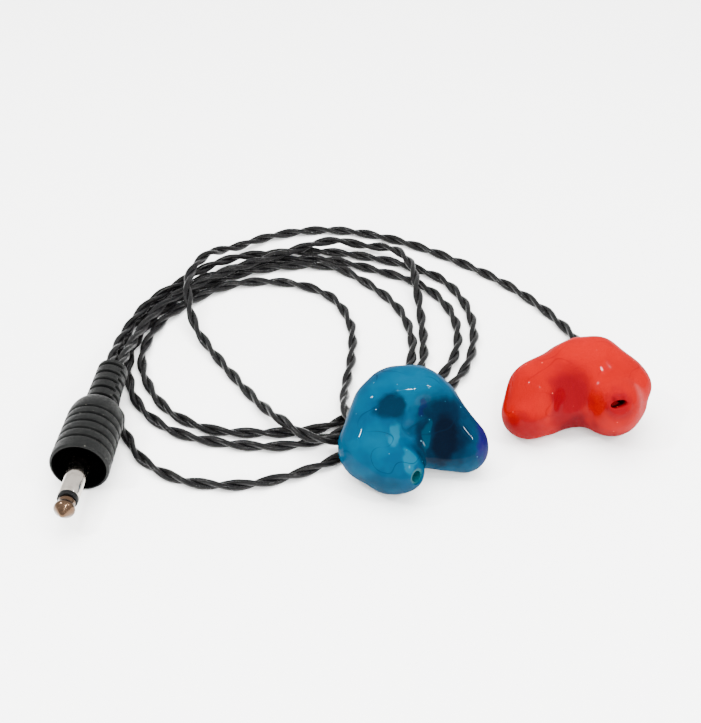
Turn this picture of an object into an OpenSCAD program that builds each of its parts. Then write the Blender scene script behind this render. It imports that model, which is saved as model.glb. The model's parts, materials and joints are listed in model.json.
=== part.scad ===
// In-ear monitors: two custom-moulded earpieces, each hard-wired by a twisted
// two-strand cord to one moulded 3.5 mm mono plug. The set lies on a flat
// surface at z = 0. +X is to the wearer's-left piece's right, +Y goes away from
// the sound outlets, +Z is up. The origin is under the middle of the earpieces.

/* [Earpieces] */
// Inner radius of each sound tube
bore_r = 1.0; // [0.8:0.1:1.1]
// Wall of each sound tube
tube_wall = 0.4; // [0.3:0.05:0.5]
// Length of each sound tube
tube_len = 4; // [3:0.5:4]
// Thickness of the lid moulded over each rear cavity
lid_t = 1.2; // [0.8:0.1:1.4]
// Softness of the blend between the lobes
blend = 1.2; // [0.8:0.1:1.4]
// Rings of the moulded skin from nose to back
skin_rings = 22; // [12:1:26]
// Points in one ring of the moulded skin
skin_sides = 34; // [20:2:40]

/* [Receivers] */
// Length of the balanced-armature receiver along the sound axis
receiver_len = 5.2; // [4.8:0.1:5.4]
// Width of the receiver
receiver_w = 2.8; // [2.6:0.1:3.0]
// Height of the receiver
receiver_h = 2.4; // [2.2:0.1:2.6]
// Sheet thickness of the receiver's case
case_t = 0.2; // [0.15:0.05:0.25]
// Outer radius of the receiver's spout
spout_r = 0.7; // [0.6:0.05:0.8]

/* [Cords] */
// Diameter of one twisted pair over both strands
cord_d = 1.9; // [1.6:0.1:1.9]
// Radius of one insulated strand
strand_r = 0.4; // [0.3:0.05:0.4]

/* [Plug] */
// Diameter of the plug's contact sleeve
jack_d = 3.5; // [3.5:0.1:3.5]
// Length of the jack outside the grip's rim
jack_out = 11.5; // [10:0.1:14]
// Largest diameter of the moulded grip
grip_d = 10.2; // [10:0.1:10.2]
// Length of the grip with its shoulder
grip_len = 15; // [14:0.1:15.6]
// Length of the strain relief behind the grip
relief_len = 11.6; // [11:0.1:12]
// Diameter of the strain relief
relief_d = 5.9; // [5.6:0.1:6]
// Thin grooves round the grip
grip_grooves = 5; // [3:1:5]

/* [Hidden] */
$fn = 48;
eps = 0.01;

// ---- places of the three rigid groups -------------------------------------

// Each earpiece is described upright, then leant back on its lobes.
ear_lean = atan2(4, 3);
left_at = [-14.7, -4.6, 7.9];
right_at = [14.8, 6.3, 7.5];
plug_at = [-69.9, -11, 5.1];
plug_yaw = 3.5;

// ---- moulded skins: rounded lobes [from, to, radius], less scooped hollows --

left_lobes = [
    [[-2.4, 5.9, -1], [0.6, 6, -1], 4.9],
    [[-5.4, 3.4, 0], [-7.5, -2.4, 0.5], 4.5],
    [[-7, -4.2, 1], [-3.6, -6, 2.5], 4.1],
    [[-3.4, -6.5, 3], [-1.3, -6.7, 4.8], 2.9],
    [[4.4, 3.9, -1], [8.4, -2, -1.5], 3.8],
    [[5, -2.5, -2], [9.2, -3.6, -1.5], 3.3],
    [[-5.2, 1.5, -2.8], [-5.8, -2, -2.6], 4.2],
    [[0, 1.5, -3.5], [4, -0.5, -3.5], 4],
    [[0.8, -3.2, 0.3], [4.6, -3.6, -0.5], 2.2]
];
left_scoops = [
    [[-3.4, 4, 6.8], [-2.2, 3.6, 6.8], 2.4],
    [[3, 3.4, 6], [5.8, -2.6, 6], 3.2]
];
left_core = [-1, -1, -2.5];
left_back = -6.4;

right_lobes = [
    [[3, 5, -1], [1, 4.7, -1], 4.7],
    [[6, 2.8, -0.5], [4, 3.4, -0.5], 3.6],
    [[-2.5, 3.4, -0.5], [-6.8, 1.2, 0], 4.2],
    [[-7.8, -1, 0], [-8.9, -3.8, 0.5], 4.5],
    [[0, -2.6, -1.5], [-4.5, -3.8, -1], 3.3],
    [[4.8, -2, -0.5], [5.8, -3.5, 0.5], 4.2],
    [[7, 0.6, -0.5], [10.6, 1, -1], 2.2],
    [[8.3, 2.4, -1], [8.6, -2.2, -0.3], 2.9],
    [[5.2, -1.4, 2], [5.9, -2, 4.2], 3.9],
    [[-5, 0, -3], [3, 1.5, -3], 3.8]
];
right_scoops = [[[-1.5, 1, 6.8], [-0.5, -5.5, 5.8], 2.8]];
right_core = [0, -0.5, -2];
right_back = -5.6;

// ---- sound axes and cord entries, in each earpiece's own upright frame ----

// Mouth of each sound tube and the direction in which sound leaves it.
left_mouth = [0.4, -7.2, 6.6];
left_aim = [0.7, -0.3, 0.65];
right_mouth = [5.4, -1.7, 6.9];
right_aim = [0.2, -0.25, 0.95];
// Centre and radius of each rear cavity, from the lid forward to its floor.
left_cavity = [-6.3, -1.3];
right_cavity = [1.4, 3];
cavity_r = 2.6;
left_cavity_floor = 0.5;
right_cavity_floor = 0;
// Each cord's entry into its grommet and the way out of it, in the shared frame.
left_entry = [-23.7, 0.6, 5.3];
left_out = [-0.48, 0.8, -0.36];
right_entry = [16.1, 14.6, 7.6];
right_out = [0.36, 0.8, -0.48];
grommet_r = 1.35;
grommet_len = 2.6;

// ---- cord routes, plug to earpiece, loosely coiled on the surface ----------

left_route = [
    [-66, 29.5, 3], [-62.8, 38.8, 3], [-57.6, 45.8, 3], [-50.3, 52.2, 3],
    [-40.5, 58.2, 3], [-29.5, 63.8, 3.1], [-22, 64.8, 1.3], [-15.6, 61.2, 2.6],
    [-12.2, 54, 3.1], [-11.6, 47.2, 2.7], [-10.9, 38, 1], [-10.8, 29, 1], [-11.8, 21.5, 1],
    [-17, 12.5, 1], [-25, 4, 1], [-35, -0.5, 1], [-46, -0.2, 1],
    [-56.5, 3.4, 1], [-63.8, 11.5, 1], [-66.9, 23, 1], [-65.6, 34, 1],
    [-60.4, 44.2, 1], [-51.5, 52.2, 1], [-41, 56.6, 1], [-29.5, 57, 1],
    [-21.5, 50.5, 1], [-15.2, 41, 1], [-13, 30, 1], [-14.6, 20.5, 1],
    [-20.3, 12, 1], [-29.5, 4.4, 1], [-40, 2.8, 1], [-50.5, 4, 1],
    [-59, 10.5, 1], [-64.4, 23, 1], [-63, 35, 1], [-57.2, 44.1, 1],
    [-48.5, 50.4, 1], [-37.5, 50.6, 1], [-29, 45.5, 1], [-25, 36, 1],
    [-24.7, 26, 1], [-25.8, 16, 1.2], [-26.1, 8.5, 2.8]
];
right_route = [
    [-68.6, 29.5, 3.1], [-65.3, 40.2, 3], [-59.6, 47.8, 3.1], [-54.8, 53.4, 3.1],
    [-48.5, 59.2, 2], [-40, 62.4, 1], [-31, 62.9, 1], [-21.5, 60.8, 1],
    [-12.5, 57, 1], [-5.3, 51, 1], [-1.4, 41, 1], [-1.1, 30, 1],
    [-4.3, 19.5, 1], [-12, 9.2, 1], [-21, 1.2, 1], [-31, -6.4, 1],
    [-42, -10.5, 1], [-52.5, -9.8, 1], [-60, -5, 1], [-63.8, 1, 1],
    [-66.3, 7, 1], [-69, 19, 1], [-68.4, 33.2, 1], [-62.4, 45.7, 1],
    [-53, 54.2, 1], [-42.5, 58.9, 1], [-31, 59.7, 1], [-20, 55.7, 1],
    [-10, 49.5, 1], [-4.6, 39, 1], [-4.7, 27, 1], [-9.8, 16.2, 1],
    [-18, 7.1, 1], [-24.4, 1.1, 1.6], [-31, -1.3, 3.1], [-36.5, 3.2, 3.1],
    [-42, 11.5, 1.2], [-49.5, 23.5, 1], [-55.3, 33.5, 2.4], [-57.7, 43.5, 5],
    [-56.8, 50.5, 5.2], [-54.4, 57, 4.3], [-50, 62.8, 2], [-41.5, 69.5, 1], [-29, 71.8, 1],
    [-15.5, 67.8, 1], [-3, 59.6, 1], [7.8, 49.4, 1], [15.8, 37.5, 1],
    [19, 27, 2.2]
];
cord_sides = 8;
// Straight run of the cord at each end, before it bends.
cord_lead = 3;

// ---- plug stations along its axis, from the grip's rim towards the tip ----

jack_r = jack_d / 2;
grip_r = grip_d / 2;
relief_r = relief_d / 2;
plug_len = grip_len + relief_len;
tip_len = 3.6;
ring_len = 0.8;
sleeve_top = jack_out - tip_len - ring_len;
cup_depth = 3.2;
cup_r = 4.2;
core_r = 3.6;
cup_floor_t = 0.6;
core_top = -cup_depth - cup_floor_t;
core_end = -grip_len + 1.6;
pin_r = 0.6;
liner_r = 1.1;
lug_r = 2.2;
wire_bore_r = 1.9;
fan_out_r = 2.5;
groove_first = -2.6;
groove_pitch = 2;
groove_w = 0.28;
groove_depth = 0.35;
relief_root_r = relief_r + 0.5;
cord_spacing = 1;

// ---- functions ------------------------------------------------------------

function unit(v) = v / norm(v);
function clamp01(t) = max(0, min(1, t));

// Distance from p to the rounded lobe l.
function lobe_gap(p, l) =
    let (ab = l[1] - l[0], t = clamp01((p - l[0]) * ab / (ab * ab)))
    norm(p - l[0] - t * ab) - l[2];

function sum(v, i = 0) = i < len(v) ? v[i] + sum(v, i + 1) : 0;

// Signed distance to the blended lobes.
function mass_gap(p, lobes) =
    -blend * ln(sum([for (l = lobes) exp(-lobe_gap(p, l) / blend)]));

// The same, with the scooped hollows taken out by a soft maximum.
scoop_blend = 0.8;
function carve(d, p, scoops, i = 0) =
    i == len(scoops) ? d
    : carve(
        scoop_blend * ln(exp(d / scoop_blend) + exp(-lobe_gap(p, scoops[i]) / scoop_blend)),
        p, scoops, i + 1);

function skin_gap(p, ear) = carve(max(mass_gap(p, ear[0]), ear[3] - p.z), p, ear[1]);

// Distance from the core to the skin along dir, by halving.
reach_max = 19;
function reach(ear, dir, near = 0, far = reach_max, steps = 12) =
    steps == 0 ? (near + far) / 2
    : let (mid = (near + far) / 2)
      skin_gap(ear[2] + mid * dir, ear) < 0 ? reach(ear, dir, mid, far, steps - 1)
                                           : reach(ear, dir, near, mid, steps - 1);

function sphere_dir(turn, tilt) = [sin(tilt) * cos(turn), sin(tilt) * sin(turn), cos(tilt)];
function skin_point(ear, turn, tilt) =
    let (dir = sphere_dir(turn, tilt)) ear[2] + reach(ear, dir) * dir;

left_ear = [left_lobes, left_scoops, left_core, left_back];
right_ear = [right_lobes, right_scoops, right_core, right_back];

// A point of the plug: side and height off its axis, and distance behind its rim.
function plug_point(side, up, back) =
    plug_at + [
        side * cos(plug_yaw) + back * sin(plug_yaw),
        back * cos(plug_yaw) - side * sin(plug_yaw),
        up
    ];

// The whole route of a cord: out of the plug, along the list and into a grommet.
function cord_path(side, route, entry, out) = concat(
    [plug_point(side, 0, plug_len), plug_point(side, 0, plug_len + cord_lead)],
    route,
    [entry + cord_lead * out, entry]
);

// Two directions across the way d that a cord runs, the second one nearest to up.
function across(d, up) = let (s = unit(cross(d, up))) [s, cross(s, d)];

// Direction along a path at point i: the bisector of its two neighbours.
function heading(path, i) =
    i == 0 ? unit(path[1] - path[0])
    : i == len(path) - 1 ? unit(path[i] - path[i - 1])
    : unit(unit(path[i + 1] - path[i]) + unit(path[i] - path[i - 1]));

// The rotation that takes +z to the direction v, and the same done to a point.
function aim_angles(v) = [0, acos(unit(v).z), atan2(v.y, v.x)];
function aimed(v, p) =
    let (b = aim_angles(v)[1], c = aim_angles(v)[2], x = p.x * cos(b) + p.z * sin(b))
    [x * cos(c) - p.y * sin(c), x * sin(c) + p.y * cos(c), p.z * cos(b) - p.x * sin(b)];

// A point of an upright earpiece after it is leant back and placed.
function leant(at, p) = at + [
    p.x,
    p.y * cos(ear_lean) - p.z * sin(ear_lean),
    p.y * sin(ear_lean) + p.z * cos(ear_lean)
];

// ---- shared modules -------------------------------------------------------

// A tube with n sides and radius r swept along a path, closed at both ends.
module sweep(path, r, n, up = [0, 0, 1]) {
    rings = len(path);
    points = [
        for (i = [0:rings - 1])
            let (w = across(heading(path, i), up))
            for (k = [0:n - 1])
                path[i] + r * (cos(360 * k / n) * w[0] + sin(360 * k / n) * w[1])
    ];
    sides = [
        for (i = [0:rings - 2], k = [0:n - 1])
            [i * n + k, i * n + (k + 1) % n, (i + 1) * n + (k + 1) % n, (i + 1) * n + k]
    ];
    near_cap = [for (k = [n - 1:-1:0]) k];
    far_cap = [for (k = [0:n - 1]) (rings - 1) * n + k];
    polyhedron(points, concat(sides, [near_cap, far_cap]));
}

// The solid skin of an earpiece: rings of points round its core, and two poles.
module skin(ear) {
    n = skin_sides;
    m = skin_rings;
    points = concat(
        [skin_point(ear, 0, 0)],
        [for (i = [1:m], k = [0:n - 1]) skin_point(ear, 360 * k / n, 180 * i / (m + 1))],
        [skin_point(ear, 0, 180)]
    );
    last = len(points) - 1;
    nose = [for (k = [0:n - 1]) [0, 1 + (k + 1) % n, 1 + k]];
    rows = [
        for (i = [0:m - 2], k = [0:n - 1])
            let (a = 1 + i * n + k, b = 1 + i * n + (k + 1) % n)
            each [[a, b, b + n], [a, b + n, a + n]]
    ];
    tail = [for (k = [0:n - 1]) [last, last - n + k, last - n + (k + 1) % n]];
    polyhedron(points, concat(nose, rows, tail));
}

module ear_place(at) {
    translate(at) rotate([ear_lean, 0, 0]) children();
}

// Puts children with their +z along the way out of a sound tube, at its mouth.
module on_axis(mouth, aim) {
    translate(mouth) rotate(aim_angles(aim)) children();
}

module plug_place() {
    translate(plug_at) rotate([90, 0, -plug_yaw]) children();
}

module tube(r_out, r_in, z0, z1) {
    translate([0, 0, z0])
        difference() {
            cylinder(r = r_out, h = z1 - z0);
            translate([0, 0, -eps]) cylinder(r = r_in, h = z1 - z0 + 2 * eps);
        }
}

// ---- earpieces ------------------------------------------------------------

tube_r = bore_r + tube_wall;
damper_len = 0.6;
spout_len = 1;
// Stations down the sound axis, behind the mouth.
spout_back = tube_len + spout_len;
case_back = spout_back + receiver_len;
pocket_gap = 0.05;
// The receiver's pocket goes on behind the terminal board, for the wires' bends.
pocket_len = receiver_len + 1.3;
reach_past = 6;

// Room for the tube, the receiver, the lid's cavity and the cord's grommet.
module ear_rooms(mouth, aim, cavity, floor_z, back) {
    on_axis(mouth, aim) {
        translate([0, 0, -tube_len]) cylinder(r = tube_r, h = tube_len + reach_past);
        translate([0, 0, -spout_back]) cylinder(r = tube_r, h = spout_len + eps);
        translate([0, 0, -spout_back + pocket_gap - pocket_len / 2])
            cube([receiver_w + 2 * pocket_gap, receiver_h + 2 * pocket_gap, pocket_len],
                 center = true);
    }
    translate([cavity.x, cavity.y, back + lid_t])
        cylinder(r = cavity_r, h = floor_z - back - lid_t);
}

// A straight hole for the grommet, from the cavity out past the skin.
module grommet_hole(entry, out) {
    translate(entry - grommet_len * out) rotate(aim_angles(out))
        cylinder(r = grommet_r, h = grommet_len + 2);
}

module half_space(back, side) {
    size = 40;
    translate([-size / 2, -size / 2, side > 0 ? back + lid_t : back + lid_t - size]) cube(size);
}

module shell(ear, at, mouth, aim, cavity, floor_z, entry, out) {
    difference() {
        ear_place(at)
            difference() {
                intersection() {
                    skin(ear);
                    half_space(ear[3], 1);
                }
                ear_rooms(mouth, aim, cavity, floor_z, ear[3]);
            }
        grommet_hole(entry, out);
    }
}

module lid(ear, at, entry, out) {
    difference() {
        ear_place(at)
            intersection() {
                skin(ear);
                half_space(ear[3], -1);
            }
        grommet_hole(entry, out);
    }
}

module sound_tube() {
    tube(tube_r, bore_r, -tube_len, 0);
}

// Acoustic damper: a mesh disc in a thin cup, seated behind the tube.
module damper() {
    translate([0, 0, -tube_len - damper_len - eps]) {
        difference() {
            cylinder(r = bore_r, h = damper_len);
            translate([0, 0, 0.3]) cylinder(r = bore_r - 0.2, h = damper_len);
        }
    }
}

module receiver_spout() {
    front = -tube_len - damper_len - 2 * eps;
    tube(spout_r, spout_r - case_t, -spout_back, front);
}

module receiver_case() {
    inner = [receiver_w - 2 * case_t, receiver_h - 2 * case_t, receiver_len - 2 * case_t];
    translate([0, 0, -spout_back - receiver_len / 2])
        difference() {
            cube([receiver_w, receiver_h, receiver_len], center = true);
            cube(inner, center = true);
            // sound slot into the spout, above the diaphragm
            translate([0, 0.3, receiver_len / 2 - case_t / 2])
                cube([0.8, 0.3, 2 * case_t], center = true);
        }
}

// Inner parts stand on the case's floor, measured from the receiver's middle.
module in_case() {
    translate([0, 0, -spout_back - receiver_len / 2]) children();
}

module diaphragm() {
    in_case() translate([0, 0.45, 0]) cube([receiver_w - 2.6 * case_t, 0.06, 4.4], center = true);
}

// U-shaped reed: it runs through the coil and between the magnets.
module armature() {
    in_case() {
        translate([0, -0.35, 0.3]) cube([1.1, 0.14, 3.7], center = true);
        translate([0, -0.02, 2.05]) cube([0.2, 0.52, 0.12], center = true);
        translate([0, -0.35, -1.75]) cube([1.9, 0.3, 0.5], center = true);
    }
}

module coil() {
    in_case() translate([0, -0.35, -0.75])
        difference() {
            cube([2, 1.1, 1.3], center = true);
            cube([1.3, 0.3, 1.5], center = true);
        }
}

module magnet_yoke() {
    in_case() translate([0, -0.35, 0.95])
        difference() {
            cube([2, 1.1, 1.5], center = true);
            cube([1.3, 0.3, 1.7], center = true);
        }
}

board_t = 0.3;
pad_x = 0.5;
pad_r = 0.35;
pad_t = 0.2;
board_back = case_back + board_t + pad_t;
module terminal_board() {
    translate([-1, -0.7, -case_back - board_t]) cube([2, 1.4, board_t]);
    for (s = [-1, 1])
        translate([s * pad_x, 0, -board_back]) cylinder(r = pad_r, h = pad_t + eps);
}

// Two insulated leads from the grommet's inner face to the board's pads. They
// are staggered as they reach the pads, so that neither touches the other.
lead_r = 0.16;
lead_stagger = 0.5;
lead_rise = 0.9;
module ear_wires(at, mouth, aim, entry, out) {
    inner = entry - grommet_len * out;
    side = pad_x * across(out, [0, 0, 1])[0];
    for (s = [-1, 1])
        sweep([
            inner + s * side,
            inner - 0.3 * out + s * side,
            leant(at, mouth + aimed(aim, [s * pad_x, s * lead_stagger, -board_back - lead_rise])),
            leant(at, mouth + aimed(aim, [s * pad_x, 0, -board_back]))
        ], lead_r, 8);
}

module cord_grommet(entry, out) {
    translate(entry - grommet_len * out) rotate(aim_angles(out))
        cylinder(r = grommet_r, h = grommet_len);
}

// ---- plug -----------------------------------------------------------------

module plug_tip() {
    color("goldenrod") plug_place()
        rotate_extrude() polygon([
            [0, core_end + 1.2], [pin_r, core_end + 1.2], [pin_r, sleeve_top + ring_len],
            [jack_r - 0.3, sleeve_top + ring_len], [jack_r - 0.3, sleeve_top + ring_len + 0.6],
            [jack_r - 0.45, sleeve_top + ring_len + 0.9], [jack_r - 0.35, sleeve_top + ring_len + 1.2],
            [jack_r, sleeve_top + ring_len + 1.7], [jack_r, sleeve_top + ring_len + 2.1],
            [0.45, jack_out - 0.15], [0.3, jack_out], [0, jack_out]
        ]);
}

module plug_insulator() {
    color("black") plug_place() {
        tube(jack_r, pin_r, sleeve_top, sleeve_top + ring_len);
        tube(liner_r, pin_r, core_end + 3.4, sleeve_top + eps);
    }
}

flange_r = 2.8;
flange_t = 0.8;
neck_r = jack_r - 0.2;
// Turned sleeve: a neck and a flange held in the core, and the long contact.
module plug_sleeve() {
    color("silver") plug_place() {
        tube(jack_r, liner_r, -cup_depth, sleeve_top);
        tube(neck_r, liner_r, core_end + 4.6, -cup_depth + eps);
        tube(flange_r, neck_r - eps, core_top - flange_t, core_top);
    }
}

module plug_rear_bush() {
    color("dimgray") plug_place() tube(lug_r, liner_r, core_end + 3.4, core_end + 4.6);
}

blade = [1, 0.3];
module plug_tip_lug() {
    color("silver") plug_place() {
        tube(1.5, pin_r, core_end + 2.6, core_end + 3.4);
        translate([-blade.x / 2, 0.7, core_end + 0.4]) cube([blade.x, blade.y, 2.4]);
    }
}

module plug_sleeve_lug() {
    color("silver") plug_place() {
        tube(lug_r, neck_r, core_end + 4.7, core_end + 5.3);
        translate([-blade.x / 2, -2.6, core_end + 0.4]) cube([blade.x, blade.y, 4.9]);
        translate([-blade.x / 2, -2.6, core_end + 4.7]) cube([blade.x, 0.6, 0.6]);
    }
}

// Hard inner moulding: it grips the sleeve's neck and leaves a room for the lugs.
chamber_r = 2.9;
chamber_top = core_end + 5.4;
module plug_core() {
    color("gray") plug_place()
        difference() {
            tube(core_r, neck_r, core_end, core_top);
            translate([0, 0, core_end - eps])
                cylinder(r = chamber_r, h = chamber_top - core_end + eps);
            translate([0, 0, core_top - flange_t]) cylinder(r = flange_r, h = flange_t + 1);
        }
}

// Both cords' strands: two run to the tip's lug, two to the sleeve's.
wire_x = [-cord_spacing - 0.45, -cord_spacing + 0.45, cord_spacing - 0.45, cord_spacing + 0.45];
tip_wire_y = 1.4;
sleeve_wire_y = -1.95;
module plug_wires() {
    color("darkred") plug_place()
        for (k = [0:3])
            let (x = wire_x[k], y = k % 2 == 0 ? tip_wire_y : sleeve_wire_y)
            sweep([
                [x, 0, -plug_len], [x, 0, -plug_len + 1.6], [x * 0.9, 0, -grip_len - 1],
                [x * 0.6, y, core_end + 0.2], [x * 0.5, y, core_end + 1.4]
            ], strand_r * 0.8, 8, [1, 0, 0]);
}

module plug_solder() {
    color("lightgray") plug_place() {
        translate([0, 1.5, core_end + 1.9]) sphere(r = 0.5, $fn = 24);
        translate([0, -1.9, core_end + 1.9]) sphere(r = 0.4, $fn = 24);
    }
}

module grip_profile() {
    grooves = [for (k = [0:grip_grooves - 1]) groove_first - k * groove_pitch];
    shoulder = groove_first - (grip_grooves - 1) * groove_pitch - 0.6;
    difference() {
        polygon(concat(
            [[cup_r, -cup_depth], [cup_r, -0.5], [cup_r + 0.3, 0], [grip_r - 0.45, 0],
             [grip_r - 0.15, -0.35], [grip_r, -2]],
            [for (a = [0:15:75])
                [relief_root_r + (grip_r - relief_root_r) * cos(a),
                 shoulder - (grip_len + shoulder) * sin(a)]],
            [[relief_root_r, -grip_len], [relief_r + eps, -grip_len], [relief_r + eps, core_end],
             [core_r, core_end], [core_r, core_top], [neck_r, core_top], [neck_r, -cup_depth]]
        ));
        for (z = grooves)
            translate([grip_r - groove_depth, z - groove_w / 2]) square([1, groove_w]);
    }
}

module plug_grip() {
    color("black") plug_place() rotate_extrude($fn = 72) grip_profile();
}

slot_rows = 8;
slot_w = 0.55;
slot_floor = relief_r - 0.75;
// Two opposite slots round the relief, each as long as the given arc.
module slot_pair(z, arc, turn) {
    for (half = [0, 180])
        translate([0, 0, z]) rotate([0, 0, half + turn - arc / 2])
            rotate_extrude(angle = arc) translate([slot_floor, 0]) square([2, slot_w]);
}

module plug_strain_relief() {
    color("black") plug_place()
        difference() {
            rotate_extrude() polygon([
                [0, -plug_len], [relief_r - 0.5, -plug_len], [relief_r - 0.15, -plug_len + 0.15],
                [relief_r, -plug_len + 0.5], [relief_r, core_end], [0, core_end]
            ]);
            translate([0, 0, -plug_len + 1])
                cylinder(r = wire_bore_r, h = relief_len + 2.6);
            translate([0, 0, -grip_len + 0.3]) cylinder(r = fan_out_r, h = 2);
            for (x = wire_x)
                translate([x, 0, -plug_len - eps]) cylinder(r = strand_r, h = 1.1);
            for (k = [0:slot_rows - 1])
                slot_pair(-plug_len + 1.4 + k * 1.1, k % 2 == 0 ? 120 : 70, k % 2 == 0 ? 90 : 0);
        }
}

// ---- named sub-parts ------------------------------------------------------

module left_shell() {
    color([0, 0.5, 0.65, 0.9])
        shell(left_ear, left_at, left_mouth, left_aim, left_cavity, left_cavity_floor,
              left_entry, left_out);
}
module left_lid() { color([0, 0.45, 0.6]) lid(left_ear, left_at, left_entry, left_out); }
module left_inner(c) { color(c) ear_place(left_at) on_axis(left_mouth, left_aim) children(); }
module left_sound_tube() { left_inner("aquamarine") sound_tube(); }
module left_damper() { left_inner("white") damper(); }
module left_receiver_case() { left_inner("silver") receiver_case(); }
module left_receiver_spout() { left_inner("silver") receiver_spout(); }
module left_terminal_board() { left_inner("green") terminal_board(); }
module left_coil() { left_inner("peru") coil(); }
module left_magnet_yoke() { left_inner("gray") magnet_yoke(); }
module left_armature() { left_inner("gainsboro") armature(); }
module left_diaphragm() { left_inner("gold") diaphragm(); }
module left_ear_wires() {
    color("darkred") ear_wires(left_at, left_mouth, left_aim, left_entry, left_out);
}
module left_cord_grommet() { color("teal") cord_grommet(left_entry, left_out); }
module left_cord() {
    color("black") sweep(cord_path(cord_spacing, left_route, left_entry, left_out), cord_d / 2, cord_sides);
}

module right_shell() {
    color([1, 0.15, 0.15])
        shell(right_ear, right_at, right_mouth, right_aim, right_cavity, right_cavity_floor,
              right_entry, right_out);
}
module right_lid() { color([0.9, 0.1, 0.12]) lid(right_ear, right_at, right_entry, right_out); }
module right_inner(c) { color(c) ear_place(right_at) on_axis(right_mouth, right_aim) children(); }
module right_sound_tube() { right_inner("mistyrose") sound_tube(); }
module right_damper() { right_inner("white") damper(); }
module right_receiver_case() { right_inner("silver") receiver_case(); }
module right_receiver_spout() { right_inner("silver") receiver_spout(); }
module right_terminal_board() { right_inner("green") terminal_board(); }
module right_coil() { right_inner("peru") coil(); }
module right_magnet_yoke() { right_inner("gray") magnet_yoke(); }
module right_armature() { right_inner("gainsboro") armature(); }
module right_diaphragm() { right_inner("gold") diaphragm(); }
module right_ear_wires() {
    color("darkred") ear_wires(right_at, right_mouth, right_aim, right_entry, right_out);
}
module right_cord_grommet() { color("firebrick") cord_grommet(right_entry, right_out); }
module right_cord() {
    color("black") sweep(cord_path(-cord_spacing, right_route, right_entry, right_out), cord_d / 2, cord_sides);
}

left_shell();
left_lid();
left_sound_tube();
left_damper();
left_receiver_case();
left_receiver_spout();
left_terminal_board();
left_coil();
left_magnet_yoke();
left_armature();
left_diaphragm();
left_ear_wires();
left_cord_grommet();
left_cord();
right_shell();
right_lid();
right_sound_tube();
right_damper();
right_receiver_case();
right_receiver_spout();
right_terminal_board();
right_coil();
right_magnet_yoke();
right_armature();
right_diaphragm();
right_ear_wires();
right_cord_grommet();
right_cord();
plug_tip();
plug_insulator();
plug_sleeve();
plug_rear_bush();
plug_tip_lug();
plug_sleeve_lug();
plug_core();
plug_wires();
plug_solder();
plug_grip();
plug_strain_relief();
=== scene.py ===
"""In-ear monitors on a pale table: cords, earpieces and plug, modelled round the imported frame."""

import json
import math

import bmesh
import bpy
import numpy as np
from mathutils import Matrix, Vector

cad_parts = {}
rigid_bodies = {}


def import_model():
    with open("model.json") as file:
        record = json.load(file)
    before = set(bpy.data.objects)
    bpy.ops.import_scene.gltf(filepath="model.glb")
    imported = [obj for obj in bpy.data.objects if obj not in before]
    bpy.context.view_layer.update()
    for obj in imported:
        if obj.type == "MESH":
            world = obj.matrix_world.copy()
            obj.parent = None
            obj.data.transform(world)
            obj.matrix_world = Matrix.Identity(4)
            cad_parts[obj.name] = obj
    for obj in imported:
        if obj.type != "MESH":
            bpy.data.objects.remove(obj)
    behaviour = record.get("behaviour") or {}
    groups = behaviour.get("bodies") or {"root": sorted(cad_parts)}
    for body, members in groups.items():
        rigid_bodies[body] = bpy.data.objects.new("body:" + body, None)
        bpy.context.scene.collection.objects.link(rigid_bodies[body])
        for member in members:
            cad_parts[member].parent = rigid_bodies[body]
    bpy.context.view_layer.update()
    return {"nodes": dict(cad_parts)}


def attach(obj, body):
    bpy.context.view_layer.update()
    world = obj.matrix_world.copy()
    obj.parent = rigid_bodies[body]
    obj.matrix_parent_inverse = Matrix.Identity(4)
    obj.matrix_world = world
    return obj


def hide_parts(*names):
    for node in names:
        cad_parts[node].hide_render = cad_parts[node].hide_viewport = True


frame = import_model()
MM = 0.001
# In metres: points nearer than the first are one point, edges under the second have no length.
WELD_REACH = 1e-7
NO_LENGTH = 1e-8


# ---- camera -----------------------------------------------------------------

# Place in millimetres, pitch in degrees below level, focal length in millimetres.
CAMERA_AT = (-25.0, -164.0, 142.4)
CAMERA_DOWN = 37.0
CAMERA_LENS = 61.7


def make_camera():
    """A camera without roll, looking along y and down at the table."""
    data = bpy.data.cameras.new("camera")
    data.lens = CAMERA_LENS
    data.sensor_width = 36.0
    data.clip_start = 0.01
    data.clip_end = 10.0
    camera = bpy.data.objects.new("camera", data)
    camera.location = Vector(CAMERA_AT) * MM
    camera.rotation_euler = (math.radians(90.0 - CAMERA_DOWN), 0.0, 0.0)
    bpy.context.scene.collection.objects.link(camera)
    bpy.context.scene.camera = camera


make_camera()


# ---- small helpers ----------------------------------------------------------

def add_mesh(name, points_mm, faces):
    """A mesh object from points in millimetres, in the shared frame."""
    mesh = bpy.data.meshes.new(name)
    mesh.from_pydata([tuple(p) for p in np.asarray(points_mm) * MM], [], faces)
    mesh.update()
    obj = bpy.data.objects.new(name, mesh)
    bpy.context.scene.collection.objects.link(obj)
    return obj


def finish_piece(obj, material):
    """Smooths a piece's shading, gives it a material, and fixes it to its body."""
    obj.data.materials.clear()
    obj.data.materials.append(material)
    obj.data.polygons.foreach_set("use_smooth", [True] * len(obj.data.polygons))
    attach(obj, "root")


def weld(mesh):
    """Joins doubled points, drops what that leaves without area and turns every face outwards."""
    work = bmesh.new()
    work.from_mesh(mesh)
    bmesh.ops.remove_doubles(work, verts=work.verts, dist=WELD_REACH)
    bmesh.ops.dissolve_degenerate(work, edges=work.edges, dist=NO_LENGTH)
    bmesh.ops.recalc_face_normals(work, faces=work.faces)
    work.to_mesh(mesh)
    work.free()


def unit(v):
    """A vector of length 1 in the same direction."""
    v = np.asarray(v, float)
    return v / np.linalg.norm(v)


def smoothstep(low, high, x):
    """0 at one end of a range and 1 at the other, level at both; the ends may be either way round."""
    t = np.clip((x - low) / (high - low), 0.0, 1.0)
    return t * t * (3.0 - 2.0 * t)


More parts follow.
